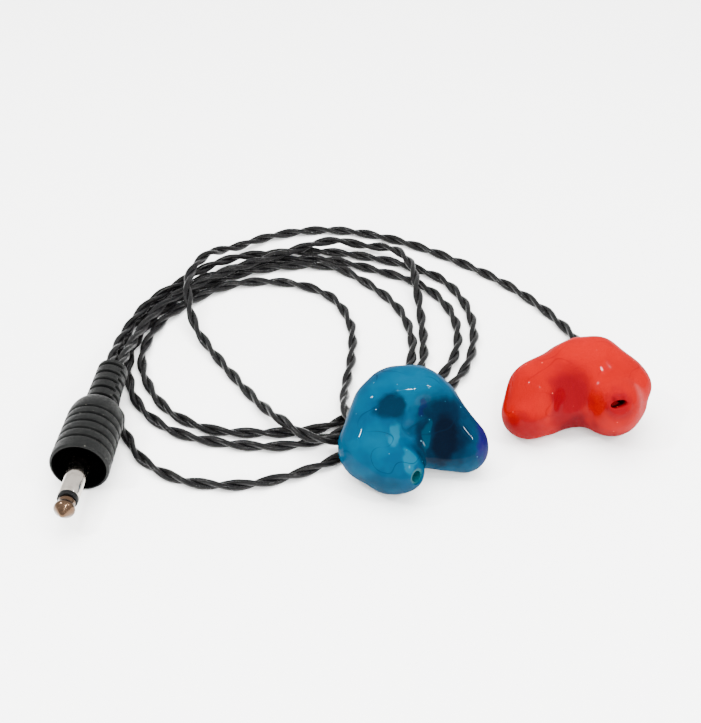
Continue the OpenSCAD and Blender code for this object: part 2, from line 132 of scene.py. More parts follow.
# ---- shader helpers ---------------------------------------------------------

class Shader:
    """One node material in the making.

    Most methods add a node and return its output. Their arguments may be plain numbers, colours
    or vectors, or the outputs of other nodes.
    """

    def __init__(self, name):
        self.material = bpy.data.materials.new(name)
        self.material.use_nodes = True
        self.tree = self.material.node_tree
        self.surface = self.tree.nodes["Principled BSDF"]
        self.objects = self.tree.nodes.new("ShaderNodeTexCoord").outputs["Object"]

    def node(self, kind, **settings):
        """Adds a node; this is the one method that returns the node itself."""
        made = self.tree.nodes.new("ShaderNode" + kind)
        for key, value in settings.items():
            setattr(made, key, value)
        return made

    def feed(self, socket, value):
        """Links an output to a socket, or sets a plain value there."""
        if isinstance(value, bpy.types.NodeSocket):
            self.tree.links.new(value, socket)
        else:
            socket.default_value = value

    def math(self, operation, a, b=0.0):
        made = self.node("Math", operation=operation)
        self.feed(made.inputs[0], a)
        self.feed(made.inputs[1], b)
        return made.outputs[0]

    def vector(self, operation, a, b=(0.0, 0.0, 0.0)):
        made = self.node("VectorMath", operation=operation)
        self.feed(made.inputs[0], a)
        self.feed(made.inputs[1], b)
        return made.outputs["Value" if operation in ("LENGTH", "DISTANCE") else "Vector"]

    def ramp(self, value, low, high, at_low=0.0, at_high=1.0):
        """Goes smoothly from one value to another as the input crosses a range."""
        made = self.node("MapRange", interpolation_type="SMOOTHSTEP", clamp=True)
        for socket, given in zip(made.inputs, (value, low, high, at_low, at_high)):
            self.feed(socket, given)
        return made.outputs[0]

    def mix(self, factor, a, b, blend="MIX"):
        made = self.node("Mix", data_type="RGBA", blend_type=blend)
        self.feed(made.inputs["Factor"], factor)
        self.feed(made.inputs[6], a if isinstance(a, bpy.types.NodeSocket) else (*a, 1.0))
        self.feed(made.inputs[7], b if isinstance(b, bpy.types.NodeSocket) else (*b, 1.0))
        return made.outputs[2]

    def noise(self, vector, scale, detail=2.0, roughness=0.5, distortion=0.0):
        made = self.node("TexNoise")
        self.feed(made.inputs["Vector"], vector)
        made.inputs["Scale"].default_value = scale
        made.inputs["Detail"].default_value = detail
        made.inputs["Roughness"].default_value = roughness
        made.inputs["Distortion"].default_value = distortion
        return made.outputs["Fac"]

    def specks(self, vector, scale, size, share):
        """Sparse round dots: a share of the cells of a random pattern hold one each."""
        cells = self.node("TexVoronoi", feature="F1")
        self.feed(cells.inputs["Vector"], vector)
        cells.inputs["Scale"].default_value = scale
        picked = self.node("SeparateColor")
        self.feed(picked.inputs[0], cells.outputs["Color"])
        dot = self.ramp(cells.outputs["Distance"], size, size * 0.6)
        return self.math("MULTIPLY", dot, self.math("LESS_THAN", picked.outputs[0], share))

    def bump(self, height, strength, distance):
        made = self.node("Bump")
        self.feed(made.inputs["Height"], height)
        made.inputs["Strength"].default_value = strength
        made.inputs["Distance"].default_value = distance
        self.feed(self.surface.inputs["Normal"], made.outputs["Normal"])

    def set(self, **values):
        """Sets sockets of the surface; a name's underscores stand for spaces."""
        for key, value in values.items():
            if isinstance(value, tuple) and len(value) == 3 and "Radius" not in key:
                value = (*value, 1.0)
            self.feed(self.surface.inputs[key.replace("_", " ")], value)


def millimetres(shader, at=(0.0, 0.0, 0.0), lean=0.0):
    """Coordinates in millimetres, in a frame placed at a point and leant back."""
    place = shader.node("Mapping", vector_type="TEXTURE")
    shader.feed(place.inputs["Vector"], shader.objects)
    place.inputs["Location"].default_value = Vector(at) * MM
    place.inputs["Rotation"].default_value = (lean, 0.0, 0.0)
    place.inputs["Scale"].default_value = (MM, MM, MM)
    return place.outputs["Vector"]


# ---- materials --------------------------------------------------------------

def cord_material():
    """Black cord sheath with faint wear."""
    s = Shader("cord_black")
    p = millimetres(s)
    wear = s.noise(p, 0.9, 3.0)
    s.set(
        Base_Color=s.mix(s.ramp(wear, 0.35, 0.75), (0.0012, 0.0012, 0.0014), (0.004, 0.0038, 0.0036)),
        Roughness=s.ramp(s.noise(p, 3.0, 2.0), 0.3, 0.7, 0.24, 0.38),
        Specular_IOR_Level=0.14,
    )
    s.bump(s.noise(p, 14.0, 2.0), 0.15, 0.00002)
    return s.material


def rubber_material(recess_at, recess_reach):
    """Dusty black rubber; in the ball that holds the grip's recess it is painted shade, near black
    without dust, and has no sheen.
    """
    s = Shader("grip_rubber")
    p = millimetres(s)
    cloudy = s.ramp(s.noise(p, 0.7, 4.0, 0.6), 0.3, 0.75)
    base = s.mix(cloudy, (0.0010, 0.0012, 0.0011), (0.0034, 0.0037, 0.0034))
    dust = s.specks(p, 1.3, 0.13, 0.22)
    speckled = s.mix(s.math("MULTIPLY", dust, 0.8), base, (0.09, 0.09, 0.08))
    # Painted shade: in the cup's recess the rubber is near black and has no sheen.
    recess_painted_shade = s.math("LESS_THAN", s.vector("DISTANCE", p, recess_at), recess_reach)
    s.set(
        Base_Color=s.mix(recess_painted_shade, speckled, (0.0003, 0.0003, 0.0003)),
        Roughness=s.ramp(s.noise(p, 2.5, 3.0), 0.3, 0.7, 0.42, 0.62),
        Specular_IOR_Level=s.ramp(recess_painted_shade, 0.0, 1.0, 0.15, 0.0),
    )
    s.bump(s.noise(p, 9.0, 4.0, 0.65), 0.22, 0.00006)
    return s.material


def metal_material(name, colour, dark, roughness):
    """Turned and plated metal: faint rings from turning and uneven stains."""
    s = Shader(name)
    p = millimetres(s)
    streaks = s.node("Mapping")
    s.feed(streaks.inputs["Vector"], p)
    streaks.inputs["Scale"].default_value = (0.6, 7.0, 0.6)
    rings = s.noise(streaks.outputs["Vector"], 1.6, 3.0)
    stain = s.ramp(s.noise(p, 0.6, 3.0), 0.45, 0.8)
    s.set(
        Base_Color=s.mix(s.math("MULTIPLY", stain, 0.5), colour, dark),
        Metallic=1.0,
        Roughness=s.ramp(rings, 0.3, 0.7, roughness, roughness + 0.14),
    )
    s.bump(rings, 0.08, 0.00002)
    return s.material


def plain_material(name, colour, roughness, metallic=0.0, grain=6.0, shine=0.4):
    """A fine-grained finish for the small pieces inside."""
    s = Shader(name)
    p = millimetres(s)
    grains = s.noise(p, grain, 3.0)
    darker = tuple(c * 0.7 for c in colour)
    s.set(
        Base_Color=s.mix(s.ramp(grains, 0.35, 0.7), colour, darker),
        Metallic=metallic,
        Specular_IOR_Level=shine,
        Roughness=s.ramp(grains, 0.3, 0.7, roughness, min(roughness + 0.15, 1.0)),
    )
    s.bump(grains, 0.12, 0.00003)
    return s.material


def blob(s, local, centre, radii, softness):
    """1 inside an ellipsoid and 0 outside it, with a soft edge."""
    away = s.vector("SUBTRACT", local, centre)
    scaled = s.vector("DIVIDE", away, radii)
    return s.ramp(s.vector("LENGTH", scaled), 1.0 + softness, 1.0 - softness)


def wobble(s, local, scale, amount):
    """The coordinates, pushed about a little so that edges drawn with them wander."""
    made = s.node("TexNoise")
    made.inputs["Detail"].default_value = 1.0
    s.feed(made.inputs["Vector"], local)
    made.inputs["Scale"].default_value = scale
    push = s.vector("SUBTRACT", made.outputs["Color"], (0.5, 0.5, 0.5))
    scaled = s.node("VectorMath", operation="SCALE")
    s.feed(scaled.inputs[0], push)
    scaled.inputs["Scale"].default_value = amount
    return s.vector("ADD", local, scaled.outputs["Vector"])


def veins(s, local, scale, width):
    """Thin wandering lines, where a smooth pattern passes through its middle value."""
    level = s.noise(local, scale, 0.0)
    line = s.ramp(s.math("ABSOLUTE", s.math("SUBTRACT", level, 0.5)), width, 0.0)
    return s.math("MULTIPLY", line, s.ramp(s.noise(local, 0.22, 0.0), 0.42, 0.58))


def resin_material(name, ear, look):
    """Cast acrylic with cloudy depth under a clear lacquer, tinted in zones, some of them painted shade
    in its hollows and painted light where it is thin.
    """
    s = Shader(name)
    local = millimetres(s, ear["at"], EAR_LEAN)
    wander = wobble(s, local, 0.35, 2.2)
    uneven = wobble(s, local, 0.42, 3.2)
    cloud = s.ramp(s.noise(wander, 0.16, 2.0), 0.35, 0.65)
    colour = s.mix(cloud, look["base"], look["light"])
    # Zones lay tints; some of them are painted shade and some painted light.
    for centre, radii, tint, amount in look["zones"]:
        inside = s.math("MULTIPLY", blob(s, uneven, centre, radii, look["softness"]), amount)
        colour = s.mix(inside, colour, tint)
    line = s.math("MULTIPLY", veins(s, local, 0.2, 0.014), look["vein_strength"])
    colour = s.mix(line, colour, look["vein"])
    bubbles = s.specks(local, 0.75, 0.13, 0.22)
    colour = s.mix(s.math("MULTIPLY", bubbles, 0.55), colour, look["bubble"])
    s.set(
        Base_Color=colour,
        Roughness=0.4,
        Specular_IOR_Level=0.0,
        Subsurface_Weight=look["scatter"],
        Subsurface_Scale=0.0010,
        Subsurface_Radius=look["scatter_radius"],
        Coat_Weight=look["lacquer"],
        Coat_Roughness=0.03,
    )
    s.bump(s.noise(local, 0.5, 2.0), 0.25, 0.00012)
    return s.material


# ---- cords ------------------------------------------------------------------

# Each list repeats the CAD model's route, from the plug towards the earpiece.
LEFT_ROUTE = [
    (-66, 29.5, 3), (-62.8, 38.8, 3), (-57.6, 45.8, 3), (-50.3, 52.2, 3),
    (-40.5, 58.2, 3), (-29.5, 63.8, 3.1), (-22, 64.8, 1.3), (-15.6, 61.2, 2.6),
    (-12.2, 54, 3.1), (-11.6, 47.2, 2.7), (-10.9, 38, 1), (-10.8, 29, 1), (-11.8, 21.5, 1),
    (-17, 12.5, 1), (-25, 4, 1), (-35, -0.5, 1), (-46, -0.2, 1),
    (-56.5, 3.4, 1), (-63.8, 11.5, 1), (-66.9, 23, 1), (-65.6, 34, 1),
    (-60.4, 44.2, 1), (-51.5, 52.2, 1), (-41, 56.6, 1), (-29.5, 57, 1),
    (-21.5, 50.5, 1), (-15.2, 41, 1), (-13, 30, 1), (-14.6, 20.5, 1),
    (-20.3, 12, 1), (-29.5, 4.4, 1), (-40, 2.8, 1), (-50.5, 4, 1),
    (-59, 10.5, 1), (-64.4, 23, 1), (-63, 35, 1), (-57.2, 44.1, 1),
    (-48.5, 50.4, 1), (-37.5, 50.6, 1), (-29, 45.5, 1), (-25, 36, 1),
    (-24.7, 26, 1), (-25.8, 16, 1.2), (-26.1, 8.5, 2.8),
]
RIGHT_ROUTE = [
    (-68.6, 29.5, 3.1), (-65.3, 40.2, 3), (-59.6, 47.8, 3.1), (-54.8, 53.4, 3.1),
    (-48.5, 59.2, 2), (-40, 62.4, 1), (-31, 62.9, 1), (-21.5, 60.8, 1),
    (-12.5, 57, 1), (-5.3, 51, 1), (-1.4, 41, 1), (-1.1, 30, 1),
    (-4.3, 19.5, 1), (-12, 9.2, 1), (-21, 1.2, 1), (-31, -6.4, 1),
    (-42, -10.5, 1), (-52.5, -9.8, 1), (-60, -5, 1), (-63.8, 1, 1),
    (-66.3, 7, 1), (-69, 19, 1), (-68.4, 33.2, 1), (-62.4, 45.7, 1),
    (-53, 54.2, 1), (-42.5, 58.9, 1), (-31, 59.7, 1), (-20, 55.7, 1),
    (-10, 49.5, 1), (-4.6, 39, 1), (-4.7, 27, 1), (-9.8, 16.2, 1),
    (-18, 7.1, 1), (-24.4, 1.1, 1.6), (-31, -1.3, 3.1), (-36.5, 3.2, 3.1),
    (-42, 11.5, 1.2), (-49.5, 23.5, 1), (-55.3, 33.5, 2.4), (-57.7, 43.5, 5),
    (-56.8, 50.5, 5.2), (-54.4, 57, 4.3), (-50, 62.8, 2), (-41.5, 69.5, 1),
    (-29, 71.8, 1), (-15.5, 67.8, 1), (-3, 59.6, 1), (7.8, 49.4, 1),
    (15.8, 37.5, 1), (19, 27, 2.2),
]
LEFT_ENTRY, LEFT_OUT = (-23.7, 0.6, 5.3), (-0.48, 0.8, -0.36)
RIGHT_ENTRY, RIGHT_OUT = (16.1, 14.6, 7.6), (0.36, 0.8, -0.48)

# The strands' middles circle the cord's line at TWIST_R, once in every TWIST_PITCH.
STRAND_R = 0.53
TWIST_R = 0.47
TWIST_PITCH = 12.0
CORD_LEAD = 3.0
CORD_STEP = 0.45
STRAND_SIDES = 18
STRAND_RIBS = 6
RIB_DEPTH = 0.025

# The plug lies with its front face at PLUG_AT and its rear end PLUG_LEN behind that.
PLUG_AT = (-69.9, -11.0, 5.1)
PLUG_YAW = math.radians(3.5)
PLUG_SIDE = np.array([math.cos(PLUG_YAW), -math.sin(PLUG_YAW), 0.0])
PLUG_BACK = np.array([math.sin(PLUG_YAW), math.cos(PLUG_YAW), 0.0])
PLUG_LEN = 26.6
CORD_SPACING = 1.0


def cord_path(side, route, entry, out):
    """Even points along a cord, from the earpiece to the plug, kept just above the table."""
    plug_end = np.array(PLUG_AT) + side * PLUG_SIDE + PLUG_LEN * PLUG_BACK
    entry = np.array(entry)
    knots = [plug_end, plug_end + CORD_LEAD * PLUG_BACK, *route]
    knots += [entry + CORD_LEAD * unit(out), entry]
    line = even(catmull_rom(np.array(knots, float)), CORD_STEP)
    line[:, 2] = np.maximum(line[:, 2], STRAND_R + TWIST_R)
    return line[::-1]


def catmull_rom(knots, pieces=16):
    """A smooth line through every knot."""
    padded = np.vstack([2 * knots[0] - knots[1], knots, 2 * knots[-1] - knots[-2]])
    t = (np.arange(pieces) / pieces)[:, None]
    line = []
    for a, b, c, d in zip(padded, padded[1:], padded[2:], padded[3:]):
        line.append(0.5 * (
            2 * b + (c - a) * t + (2 * a - 5 * b + 4 * c - d) * t**2
            + (3 * b - a - 3 * c + d) * t**3
        ))
    return np.vstack([*line, knots[-1]])


def lengths_along(line):
    """How far along the line each of its points lies."""
    steps = np.linalg.norm(np.diff(line, axis=0), axis=1)
    return np.concatenate([[0.0], np.cumsum(steps)])


def even(line, step):
    """The same line with points a fixed step apart."""
    along = lengths_along(line)
    stops = np.linspace(0.0, along[-1], int(along[-1] / step) + 1)
    return np.stack([np.interp(stops, along, line[:, k]) for k in range(3)], axis=1)


def carried_frames(line):
    """Two directions across the line at each point, carried along it without twisting."""
    heading = np.gradient(line, axis=0)
    heading /= np.linalg.norm(heading, axis=1)[:, None]
    across = unit(np.cross(heading[0], (0.0, 0.0, 1.0)))
    sides = []
    for h in heading:
        across = unit(across - h * across.dot(h))
        sides.append(across)
    sides = np.array(sides)
    return sides, np.cross(heading, sides)


def tube_faces(rings, sides, first):
    """Quads between rings, and one cap at each end."""
    faces = []
    for i in range(rings - 1):
        row = first + i * sides
        for k in range(sides):
            n = (k + 1) % sides
            faces.append((row + k, row + n, row + sides + n, row + sides + k))
    last = first + (rings - 1) * sides
    faces.append(tuple(range(first + sides - 1, first - 1, -1)))
    faces.append(tuple(range(last, last + sides)))
    return faces


def twisted_pair(name, line, material):
    """Two ribbed strands wound round one line."""
    u, v = carried_frames(line)
    turn = 2 * math.pi * lengths_along(line) / TWIST_PITCH
    around = 2 * math.pi * np.arange(STRAND_SIDES) / STRAND_SIDES
    radius = STRAND_R * (1.0 - RIB_DEPTH + RIB_DEPTH * np.cos(STRAND_RIBS * around))
    points, faces = [], []
    for half in (0.0, math.pi):
        spin = (turn + half)[:, None]
        middle = line + TWIST_R * (np.cos(spin) * u + np.sin(spin) * v)
        angle = spin + around[None, :]
        ring = (
            np.cos(angle)[:, :, None] * u[:, None, :]
            + np.sin(angle)[:, :, None] * v[:, None, :]
        )
        strand = middle[:, None, :] + radius[None, :, None] * ring
        faces += tube_faces(len(line), STRAND_SIDES, sum(map(len, points)))
        points.append(strand.reshape(-1, 3))
    cord = add_mesh(name, np.vstack(points), faces)
    weld(cord.data)
    finish_piece(cord, material)
    return cord


CORD = cord_material()
left_line = cord_path(CORD_SPACING, LEFT_ROUTE, LEFT_ENTRY, LEFT_OUT)
right_line = cord_path(-CORD_SPACING, RIGHT_ROUTE, RIGHT_ENTRY, RIGHT_OUT)
left_cord = twisted_pair("left_twisted_cord", left_line, CORD)
right_cord = twisted_pair("right_twisted_cord", right_line, CORD)
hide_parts("left_cord")
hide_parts("right_cord")


# ---- earpieces --------------------------------------------------------------

# An earpiece lies leant back by this much. The rows are its own directions in the shared frame.
EAR_LEAN = math.atan2(4, 3)
UPRIGHT = np.array([[1.0, 0.0, 0.0], [0.0, 0.6, 0.8], [0.0, -0.8, 0.6]])
LOBE_BLEND = 1.2
SCOOP_BLEND = 0.8
EDGE_BLEND = 0.35
LID_T = 1.2
SEAM_DEPTH = 0.09
SEAM_REACH = 0.22
WAVE_HEIGHT = 0.04
LIP_R = 1.75
LIP_WIDTH = 0.6
LIP_REACH = 2.0
TUBE_DEPTH = 5.0
CUTTER_PAST_SKIN = 4.0
MOUTH_SIDES = 48
BALL_LEVEL = 7
SKIN_LIMIT = 19.0
HALVINGS = 18

# Sizes are in an upright earpiece's own frame, placed at "at": z runs from its flat rear, at
# "back", towards the wearer. A lobe or a scoop is a capsule: from, to and radius. The skin is
# sculpted outwards from "core". The sound tube ends at "mouth" and points along "aim", in a hole
# with the half widths "mouth_size", turned by "mouth_turn" and with a lip of height "lip".
LEFT_EAR = {
    "at": (-14.7, -4.6, 7.9),
    "core": (-1, -1, -2.5),
    "back": -6.4,
    "lobes": [
        ((-2.4, 5.9, -1), (0.6, 6, -1), 4.9),
        ((-5.4, 3.4, 0), (-7.5, -2.4, 0.5), 4.5),
        ((-7, -4.2, 1), (-3.6, -6, 2.5), 4.1),
        ((-3.4, -6.5, 3), (-1.3, -6.7, 4.8), 2.9),
        ((4.4, 3.9, -1), (8.4, -2, -1.5), 3.8),
        ((5, -2.5, -2), (9.2, -3.6, -1.5), 3.3),
        ((-5.2, 1.5, -2.8), (-5.8, -2, -2.6), 4.2),
        ((0, 1.5, -3.5), (4, -0.5, -3.5), 4.0),
        ((0.8, -3.2, 0.3), (4.6, -3.6, -0.5), 2.2),
    ],
    "scoops": [
        ((-3.4, 4, 6.8), (-2.2, 3.6, 6.8), 2.4),
        ((3, 3.4, 6), (5.8, -2.6, 6), 3.2),
    ],
    "mouth": (0.4, -7.2, 6.6),
    "aim": (0.7, -0.3, 0.65),
    "mouth_size": (1.4, 1.4),
    "mouth_turn": 0.0,
    "lip": 0.0,
}
RIGHT_EAR = {
    "at": (14.8, 6.3, 7.5),
    "core": (0, -0.5, -2),
    "back": -5.6,
    "lobes": [
        ((3, 5, -1), (1, 4.7, -1), 4.7),
        ((6, 2.8, -0.5), (4, 3.4, -0.5), 3.6),
        ((-2.5, 3.4, -0.5), (-6.8, 1.2, 0), 4.2),
        ((-7.8, -1, 0), (-8.9, -3.8, 0.5), 4.5),
        ((0, -2.6, -1.5), (-4.5, -3.8, -1), 3.3),
        ((4.8, -2, -0.5), (5.8, -3.5, 0.5), 4.2),
        ((7, 0.6, -0.5), (10.6, 1, -1), 2.2),
        ((8.3, 2.4, -1), (8.6, -2.2, -0.3), 2.9),
        ((5.2, -1.4, 2), (5.9, -2, 4.2), 3.9),
        ((-5, 0, -3), (3, 1.5, -3), 3.8),
    ],
    "scoops": [((-1.5, 1, 6.8), (-0.5, -5.5, 5.8), 2.8)],
    "mouth": (5.4, -1.7, 6.9),
    "aim": (0.2, -0.25, 0.95),
    "mouth_size": (1.45, 0.72),
    "mouth_turn": 0.43,
    "lip": 0.2,
}


def capsule_gap(p, capsule):
    """Signed distance from each point to a capsule."""
    a, b, r = np.array(capsule[0], float), np.array(capsule[1], float), capsule[2]
    t = np.clip((p - a) @ (b - a) / ((b - a) @ (b - a)), 0.0, 1.0)
    return np.linalg.norm(p - a - t[:, None] * (b - a), axis=1) - r


def soft_max(a, b, k):
    """The larger of two distances, with a blend about k wide where they meet."""
    return k * np.logaddexp(a / k, b / k)


def skin_gap(p, ear):
    """Signed distance to an earpiece's skin, in its own upright frame."""
    gaps = np.array([capsule_gap(p, lobe) for lobe in ear["lobes"]])
    gap = -LOBE_BLEND * np.logaddexp.reduce(-gaps / LOBE_BLEND, axis=0)
    gap = soft_max(gap, ear["back"] - p[:, 2], EDGE_BLEND)
    for scoop in ear["scoops"]:
        gap = soft_max(gap, -capsule_gap(p, scoop), SCOOP_BLEND)
    return gap + hand_finish(p) + seam_groove(p, ear) + mouth_lip(p, ear)


def hand_finish(p):
    """The faint waves that hand polishing leaves; never negative, so they only take resin off."""
    x, y, z = p.T
    wave = np.sin(0.9 * x + 0.5 * y) * np.sin(0.7 * y - 0.6 * z) + 0.5 * np.sin(1.7 * z + 1.1 * x)
    lowest = -1.5
    return WAVE_HEIGHT * (wave - lowest)


def seam_groove(p, ear):
    """A fine groove where the lid meets the shell."""
    off = np.abs(p[:, 2] - ear["back"] - LID_T)
    return SEAM_DEPTH * (1.0 - smoothstep(0.0, SEAM_REACH, off))


def mouth_lip(p, ear):
    """A thick rounded lip on the skin round the sound tube's mouth."""
    aim = unit(ear["aim"])
    away = p - np.array(ear["mouth"])
    along = away @ aim
    off_axis = np.linalg.norm(away - along[:, None] * aim, axis=1)
    lip = ear["lip"] * np.exp(-((off_axis - LIP_R) / LIP_WIDTH) ** 2)
    return np.where(along > -LIP_REACH, -lip, 0.0)


def sculpt(ear):
    """Points of a fine ball, each moved out from the core to the skin by halving the gap."""
    ball = bmesh.new()
    bmesh.ops.create_icosphere(ball, subdivisions=BALL_LEVEL, radius=1.0)
    directions = np.array([v.co[:] for v in ball.verts])
    directions /= np.linalg.norm(directions, axis=1)[:, None]
    faces = [tuple(v.index for v in f.verts) for f in ball.faces]
    ball.free()
    core = np.array(ear["core"], float)
    near = np.zeros(len(directions))
    far = np.full(len(directions), SKIN_LIMIT)
    for _ in range(HALVINGS):
        middle = (near + far) / 2
        inside = skin_gap(core + middle[:, None] * directions, ear) < 0
        near = np.where(inside, middle, near)
        far = np.where(inside, far, middle)
    return core + near[:, None] * directions, faces


def leant(p, ear):
    """Points of an upright earpiece, leant back and put in their place on the table."""
    return np.asarray(p, float) @ UPRIGHT + np.array(ear["at"])


def cut_below(obj, point, normal):
    """Keeps what lies on the normal's side of a plane, and closes the cut."""
    work = bmesh.new()
    work.from_mesh(obj.data)
    made = bmesh.ops.bisect_plane(
        work, geom=[*work.verts, *work.edges, *work.faces],
        plane_co=Vector(point), plane_no=Vector(normal), clear_inner=True,
    )
    rim = [e for e in made["geom_cut"] if isinstance(e, bmesh.types.BMEdge)]
    bmesh.ops.contextual_create(work, geom=rim)
    bmesh.ops.triangulate(work, faces=[f for f in work.faces if len(f.verts) > 4])
    bmesh.ops.recalc_face_normals(work, faces=work.faces)
    work.to_mesh(obj.data)
    work.free()


def drill_mouth(obj, ear):
    """Cuts the round or oval hole in which the sound tube ends."""
    aim = unit(ear["aim"])
    across = unit(np.cross(aim, (0.0, 0.0, 1.0)))
    upward = np.cross(across, aim)
    turn = ear["mouth_turn"]
    u = math.cos(turn) * across + math.sin(turn) * upward
    v = np.cross(aim, u)
    angles = 2 * math.pi * np.arange(MOUTH_SIDES) / MOUTH_SIDES
    wide, tall = ear["mouth_size"]
    ring = wide * np.cos(angles)[:, None] * u + tall * np.sin(angles)[:, None] * v
    mouth = np.array(ear["mouth"])
    points = np.vstack([mouth - TUBE_DEPTH * aim + ring, mouth + CUTTER_PAST_SKIN * aim + ring])
    cutter = add_mesh("mouth_cutter", leant(points, ear), tube_faces(2, MOUTH_SIDES, 0))
    weld(cutter.data)
    cut = obj.modifiers.new("mouth", "BOOLEAN")
    cut.operation = "DIFFERENCE"
    cut.solver = "EXACT"
    cut.object = cutter
    apply_modifiers(obj)
    bpy.data.objects.remove(cutter)


def apply_modifiers(obj):
    """Swaps the mesh for its shape after the modifiers."""
    graph = bpy.context.evaluated_depsgraph_get()
    shaped = bpy.data.meshes.new_from_object(obj.evaluated_get(graph))
    obj.modifiers.clear()
    obj.data = shaped


def make_ear(side, ear, colour, look, lid_look):
    """Sculpts an earpiece's skin once and makes the shell and the lid of it, cut at the seam."""
    points, faces = sculpt(ear)
    seam = leant((0.0, 0.0, ear["back"] + LID_T), ear) * MM
    forward = UPRIGHT[2]
    shell = add_mesh(f"{side}_polished_shell", leant(points, ear), faces)
    cut_below(shell, seam, forward)
    drill_mouth(shell, ear)
    finish_piece(shell, resin_material(f"{colour}_acrylic", ear, look))
    lid = add_mesh(f"{side}_polished_lid", leant(points, ear), faces)
    cut_below(lid, seam, -forward)
    finish_piece(lid, resin_material(f"{colour}_lid", ear, lid_look))
    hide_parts(f"{side}_shell")
    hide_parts(f"{side}_lid")


# A zone is an ellipsoid that tints the resin, some zones with painted shade and some with painted
# light: centre, radii, tint and how much of it.
# Centres and radii are in the upright earpiece's own millimetres.
BLUE_LOOK = {
    "softness": 0.3,
    "lacquer": 0.09,
    "base": (0.0, 0.0205, 0.0460),
    "light": (0.0, 0.0300, 0.0600),
    "zones": [
        # Painted light: lighter where the thin resin of the left arm lets light through.
        ((-6.2, -2.0, 4.5), (2.4, 3.4, 3.0), (0.0, 0.0330, 0.0620), 0.5),
        ((-3.2, -8.2, 3.0), (5.2, 2.4, 4.4), (0.0, 0.0130, 0.0280), 0.75),
        # Painted shade: dark navy in the small bowl.
        ((-3.7, 4.0, 4.2), (2.8, 2.3, 2.8), (0.0, 0.0050, 0.0125), 0.9),
        # Painted shade: dark navy over the right lobe.
        ((8.8, 0.0, 0.0), (4.0, 7.0, 6.0), (0.0, 0.0075, 0.0200), 0.85),
        # Painted shade in the long bowl: dark over its hollow, darkest along its floor.
        ((4.6, -0.7, 3.2), (4.7, 7.0, 3.9), (0.0, 0.0028, 0.0086), 0.94),
        ((5.4, -1.4, 2.4), (2.0, 4.4, 3.4), (0.0, 0.0009, 0.0036), 0.85),
        ((2.2, -0.5, 3.4), (0.6, 3.4, 2.2), (0.0, 0.0180, 0.0330), 0.6),
        ((1.8, 3.8, 3.0), (0.6, 1.3, 2.0), (0.001, 0.001, 0.0200), 0.6),
        # Painted light: bright cyan where thin resin lets light through, mid-left and near the canal's
        # tip.
        ((-2.7, -0.2, 5.0), (1.2, 1.6, 2.6), (0.0005, 0.0600, 0.0980), 0.6),
        ((-0.9, -4.8, 7.0), (1.2, 2.2, 3.0), (0.0005, 0.0560, 0.0900), 0.5),
        ((12.0, -1.8, -1.0), (1.6, 4.2, 4.0), (0.004, 0.001, 0.0380), 0.85),
    ],
    "vein": (0.0, 0.0050, 0.0140),
    "vein_strength": 0.6,
    "bubble": (0.03, 0.11, 0.15),
    "scatter": 0.05,
    "scatter_radius": (0.1, 0.6, 1.0),
}
RED_LOOK = {
    "softness": 0.5,
    "lacquer": 0.09,
    "base": (0.155, 0.0, 0.0002),
    "light": (0.180, 0.0, 0.0003),
    "zones": [
        # Painted shade: deep crimson in the hollow of the scoop.
        ((-2.2, -0.6, 3.4), (3.8, 5.0, 4.4), (0.080, 0.0, 0.0026), 0.85),
        ((-6.6, -3.4, 4.6), (1.3, 4.0, 3.0), (0.190, 0.002, 0.001), 0.5),
        ((-9.6, -6.2, 2.0), (4.0, 2.2, 5.0), (0.080, 0.0, 0.0020), 0.7),
        ((5.4, -1.8, 8.0), (2.7, 2.3, 2.2), (0.090, 0.0, 0.0024), 0.85),
        # Painted shade: near black on the walls of the sound tube's hole.
        ((5.4, -1.7, 6.5), (1.5, 1.1, 1.1), (0.006, 0.0, 0.0), 0.97),
        # Painted shade: the dark crescent low on the front.
        ((-0.8, -6.2, 1.0), (3.8, 2.2, 5.0), (0.050, 0.0, 0.0020), 0.85),
        ((5.4, -8.4, 0.0), (5.0, 1.8, 5.0), (0.060, 0.0, 0.0016), 0.7),
    ],
    "vein": (0.09, 0.0, 0.0015),
    "vein_strength": 0.65,
    "bubble": (0.42, 0.06, 0.04),
    "scatter": 0.12,
    "scatter_radius": (1.0, 0.12, 0.08),
}

BLUE_LID_LOOK = {**BLUE_LOOK, "light": (0.0, 0.0140, 0.0320)}
RED_LID_LOOK = {**RED_LOOK, "light": (0.150, 0.0, 0.0010)}

make_ear("left", LEFT_EAR, "blue", BLUE_LOOK, BLUE_LID_LOOK)
make_ear("right", RIGHT_EAR, "red", RED_LOOK, RED_LID_LOOK)


# ---- plug -------------------------------------------------------------------

# The plug's own frame: z runs from the grip's front face towards the tip, x to its side, and y
# is up. A place along z is called a station.
PLUG_FRAME = np.array([PLUG_SIDE, (0.0, 0.0, 1.0), -PLUG_BACK])
GRIP_LEN = 15.0
GRIP_R = 5.05
RELIEF_R = 2.93
JACK_R = 1.75
SLEEVE_TOP = 7.1
RING_TOP = 7.9
TIP_END = 11.5
CUP_R = 4.2
CUP_DEPTH = 3.2
CUP_CORNER = 0.5
CUP_LIP = 0.2
# The cup's painted shade reaches from a point 1 mm inside the cup to its walls, and stays inside the
# grip's outer face.
RECESS_REACH = 4.7
GROOVES = (-2.7, -4.7, -6.7, -8.7, -10.6)
GROOVE_W = 0.44
GROOVE_DEPTH = 0.42
RIB_SWELL = 0.14
SHOULDER = -11.2
SHOULDER_STEP = 0.35
RIM_ROUND = 0.45
TAPER = 0.018
TAPER_FROM = 2.0
FIT = 0.02
# How deep the jack's hole through the grip reaches; the strain relief's room starts there.
HOLE_DEPTH = 8.2
GRIP_SIDES = 192
GRIP_STATIONS = 420


def on_plug(points):
    """Points of the plug's own frame, in the shared frame."""
    return np.asarray(points, float) @ PLUG_FRAME + np.array(PLUG_AT)


